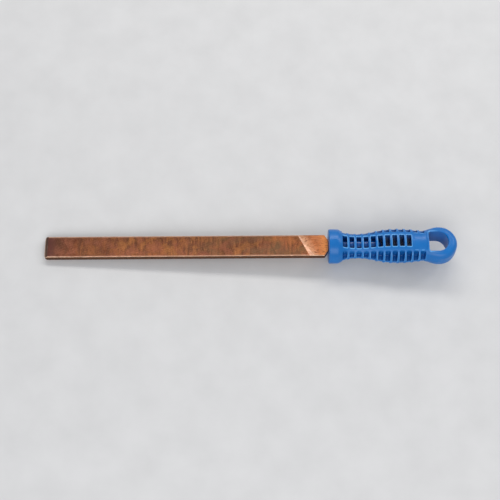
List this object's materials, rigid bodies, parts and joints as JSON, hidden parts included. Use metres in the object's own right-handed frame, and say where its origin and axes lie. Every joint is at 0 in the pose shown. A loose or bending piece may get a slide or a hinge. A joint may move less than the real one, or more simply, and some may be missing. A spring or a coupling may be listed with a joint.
{
  "type": "flat file",
  "caption": "Flat hand file: parallel double-cut blade of copper alloy with a smooth heel and bevelled tip, in an oval moulded plastic handle with grip windows and a D-shaped hanging loop.",
  "frame": {"origin": "centre of the whole file's bounding box, on the blade's mid plane", "axes": "+X along the file from the tip towards the handle's butt, +Y across the blade's width, +Z out of the blade's flat face"},
  "size_m": [0.363, 0.0318, 0.0294],
  "materials": {
    "copper_alloy": "cut teeth, brushed heel",
    "blue_plastic": "semi-gloss moulded"
  },
  "bodies": {
    "blade": {"file_blade": "copper_alloy"},
    "grip": {"handle": "blue_plastic"}
  },
  "joints": [
    {"name": "handle_pull_off", "type": "slide", "parent": "blade", "child": "grip", "axis": [1, 0, 0], "range_m": [0, 0.05]}
  ]
}
